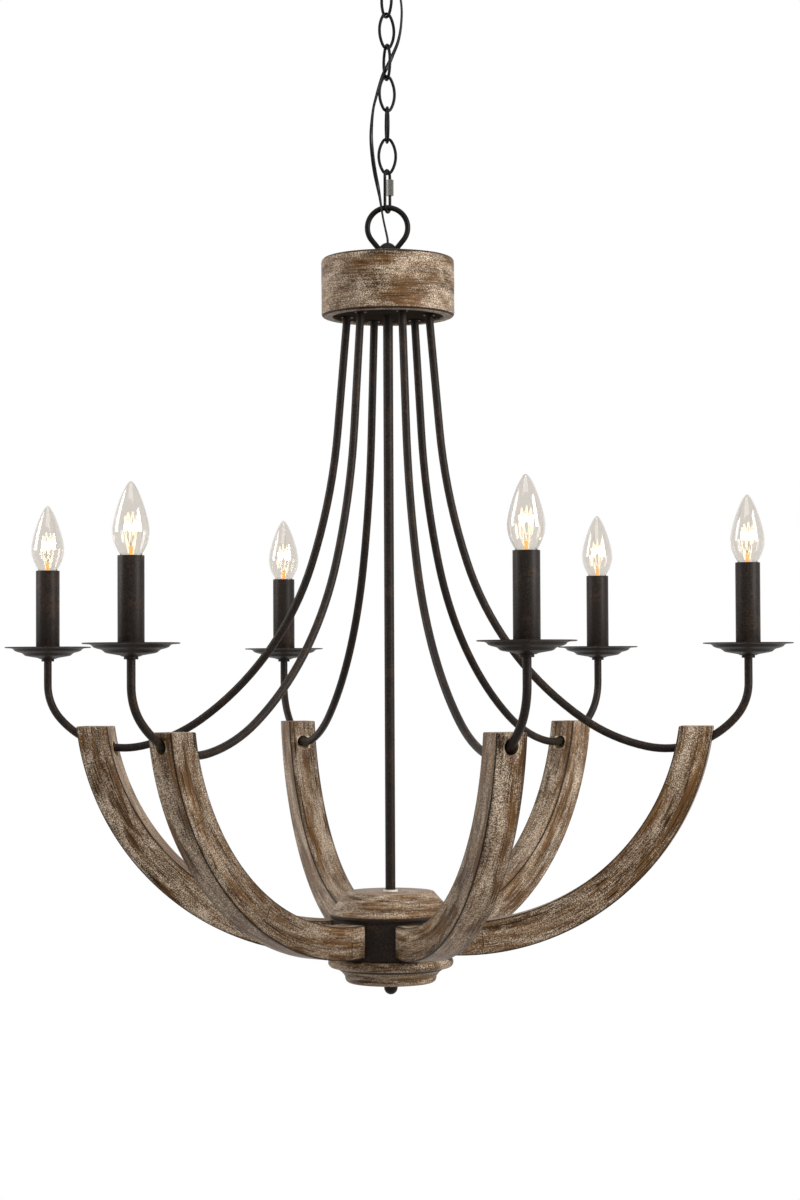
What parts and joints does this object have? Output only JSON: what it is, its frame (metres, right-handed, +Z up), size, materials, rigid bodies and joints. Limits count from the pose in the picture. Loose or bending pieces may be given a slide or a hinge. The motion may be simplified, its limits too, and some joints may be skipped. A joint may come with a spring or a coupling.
{
  "type": "candle chandelier",
  "caption": "Hanging candle chandelier with curved wooden arms on a metal hub, bent lamp tubes from a wooden drum, and a chain with its cord.",
  "frame": {"origin": "centre of the ceiling crossbar's top face, on the ceiling plane", "axes": "+Z up, away from the chandelier; +X along the crossbar and along the first wooden arm"},
  "size_m": [0.7996, 0.7042, 1.0711],
  "materials": {
    "black_metal": "satin textured powder coat, rust speckle",
    "black_chain": "satin black",
    "plain_steel": "zinc plated",
    "whitewashed_wood": "weathered brown with grey whitewash",
    "clear_glass": "clear",
    "lamp_brass": "bright",
    "pale_plastic": "matt",
    "cord_pvc": "matt black PVC"
  },
  "bodies": {
    "ceiling_mount": {"crossbar": "plain_steel", "canopy_loop": "black_metal", "supply_cord": "cord_pvc"},
    "canopy_collar": {"screw_collar": "black_metal"},
    "canopy": {"canopy": "black_metal"},
    "link_1": {"chain_link_1": "black_chain"},
    "link_2": {"chain_link_2": "black_chain"},
    "link_3": {"chain_link_3": "black_chain"},
    "link_4": {"chain_link_4": "black_chain"},
    "link_5": {"chain_link_5": "black_chain"},
    "link_6": {"chain_link_6": "black_chain"},
    "quick_link": {"quick_link": "black_chain"},
    "quick_link_nut": {"sleeve_nut": "black_chain"},
    "chandelier": {"top_loop": "black_metal", "top_drum": "whitewashed_wood", "drum_plate": "black_metal", "centre_rod": "black_metal", "rod_nuts": "plain_steel", "tube_nuts": "black_metal", "wire_nuts": "pale_plastic", "lamp_wires": "pale_plastic", "rod_gasket": "pale_plastic", "upper_disc": "whitewashed_wood", "arm_spool": "black_metal", "lower_disc": "whitewashed_wood", "finial": "black_metal", "arm_screws": "plain_steel", "pan_collars": "black_metal", "candle_sleeves": "black_metal", "lamp_sockets": "pale_plastic", "arm_tube_1": "black_metal", "arm_tube_2": "black_metal", "arm_tube_3": "black_metal", "arm_tube_4": "black_metal", "arm_tube_5": "black_metal", "arm_tube_6": "black_metal", "wood_arm_1": "whitewashed_wood", "wood_arm_2": "whitewashed_wood", "wood_arm_3": "whitewashed_wood", "wood_arm_4": "whitewashed_wood", "wood_arm_5": "whitewashed_wood", "wood_arm_6": "whitewashed_wood", "drip_pan_1": "black_metal", "drip_pan_2": "black_metal", "drip_pan_3": "black_metal", "drip_pan_4": "black_metal", "drip_pan_5": "black_metal", "drip_pan_6": "black_metal"},
    "bulb_1": {"bulb_glass_1": "clear_glass", "bulb_base_1": "lamp_brass"},
    "bulb_2": {"bulb_glass_2": "clear_glass", "bulb_base_2": "lamp_brass"},
    "bulb_3": {"bulb_glass_3": "clear_glass", "bulb_base_3": "lamp_brass"},
    "bulb_4": {"bulb_glass_4": "clear_glass", "bulb_base_4": "lamp_brass"},
    "bulb_5": {"bulb_glass_5": "clear_glass", "bulb_base_5": "lamp_brass"},
    "bulb_6": {"bulb_glass_6": "clear_glass", "bulb_base_6": "lamp_brass"}
  },
  "joints": [
    {"name": "collar_slide", "type": "slide", "parent": "ceiling_mount", "child": "canopy_collar", "axis": [0, 0, -1], "range_m": [0, 0.02]},
    {"name": "canopy_turn", "type": "hinge", "parent": "canopy_collar", "child": "canopy", "pos_m": [0, 0, -0.03], "axis": [0, 0, 1], "range_deg": [-180, 180]},
    {"name": "link_1_swing", "type": "hinge", "parent": "ceiling_mount", "child": "link_1", "pos_m": [0, 0, -0.06], "axis": [0.6691, 0.7431, 0], "range_deg": [-10, 10], "deforming": ["supply_cord"]},
    {"name": "link_2_swing", "type": "hinge", "parent": "link_1", "child": "link_2", "pos_m": [0, 0, -0.09095], "axis": [-0.7193, 0.6947, 0], "range_deg": [-10, 10], "deforming": ["supply_cord"]},
    {"name": "link_3_swing", "type": "hinge", "parent": "link_2", "child": "link_3", "pos_m": [0, 0, -0.12265], "axis": [0.7431, 0.6691, 0], "range_deg": [-10, 10], "deforming": ["supply_cord"]},
    {"name": "link_4_swing", "type": "hinge", "parent": "link_3", "child": "link_4", "pos_m": [0, 0, -0.15435], "axis": [-0.5299, 0.848, 0], "range_deg": [-10, 10], "deforming": ["supply_cord"]},
    {"name": "link_5_swing", "type": "hinge", "parent": "link_4", "child": "link_5", "pos_m": [0, 0, -0.18605], "axis": [0.788, 0.6157, 0], "range_deg": [-10, 10], "deforming": ["supply_cord"]},
    {"name": "link_6_swing", "type": "hinge", "parent": "link_5", "child": "link_6", "pos_m": [0, 0, -0.21775], "axis": [-0.309, 0.9511, 0], "range_deg": [-10, 10], "deforming": ["supply_cord"]},
    {"name": "quick_link_swing", "type": "hinge", "parent": "link_6", "child": "quick_link", "pos_m": [0, 0, -0.24945], "axis": [0.9781, 0.2079, 0], "range_deg": [-10, 10], "deforming": ["supply_cord"]},
    {"name": "chandelier_swing", "type": "hinge", "parent": "quick_link", "child": "chandelier", "pos_m": [0, 0, -0.28835], "axis": [0.2419, 0.9703, 0], "range_deg": [-10, 10], "deforming": ["supply_cord"]},
    {"name": "nut_slide", "type": "slide", "parent": "quick_link", "child": "quick_link_nut", "axis": [0, 0, -1], "range_m": [0, 0.008]},
    {"name": "bulb_1_lift", "type": "slide", "parent": "chandelier", "child": "bulb_1", "axis": [0, 0, 1], "range_m": [0, 0.04]},
    {"name": "bulb_2_lift", "type": "slide", "parent": "chandelier", "child": "bulb_2", "axis": [0, 0, 1], "range_m": [0, 0.04]},
    {"name": "bulb_3_lift", "type": "slide", "parent": "chandelier", "child": "bulb_3", "axis": [0, 0, 1], "range_m": [0, 0.04]},
    {"name": "bulb_4_lift", "type": "slide", "parent": "chandelier", "child": "bulb_4", "axis": [0, 0, 1], "range_m": [0, 0.04]},
    {"name": "bulb_5_lift", "type": "slide", "parent": "chandelier", "child": "bulb_5", "axis": [0, 0, 1], "range_m": [0, 0.04]},
    {"name": "bulb_6_lift", "type": "slide", "parent": "chandelier", "child": "bulb_6", "axis": [0, 0, 1], "range_m": [0, 0.04]}
  ]
}
